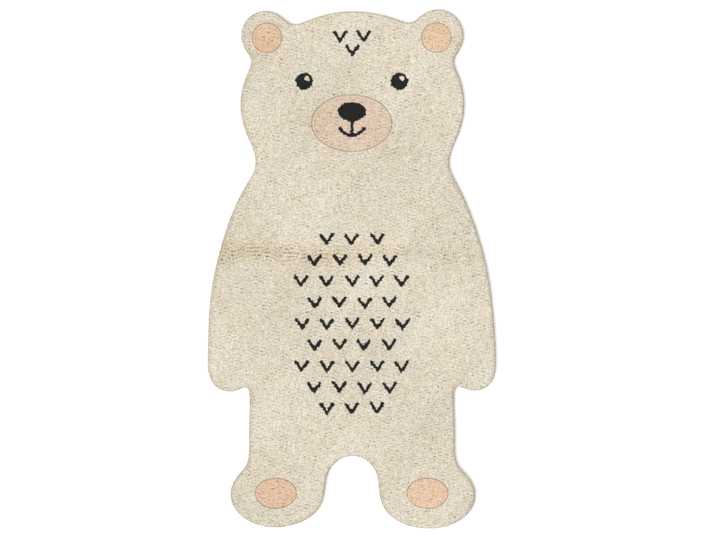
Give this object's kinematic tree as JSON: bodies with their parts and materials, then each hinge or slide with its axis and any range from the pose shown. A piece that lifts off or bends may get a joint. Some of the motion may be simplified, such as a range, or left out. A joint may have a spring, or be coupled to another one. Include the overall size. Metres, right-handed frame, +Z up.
{
  "type": "bear shaped kids rug",
  "caption": "Flat tufted rug cut to a standing bear: cream pile with a blush muzzle, peach inner ears and foot pads, a dark nose and eyes, and small dark marks on the belly.",
  "frame": {"origin": "on the floor under the middle of the rug's bounding box", "axes": "+Y towards the bear's head, +X towards the bear's left side, +Z up from the floor through the pile"},
  "size_m": [0.8996, 1.6192, 0.0171],
  "materials": {
    "cream_pile": "matte short cotton pile, undyed cream",
    "blush_pile": "matte short cotton pile, pale blush",
    "peach_pile": "matte short cotton pile, peach",
    "black_pile": "matte short cotton pile, soft black",
    "ground_cloth": "plain woven cotton, unbleached"
  },
  "bodies": {
    "root": {"rug": "cream_pile"}
  },
  "joints": []
}
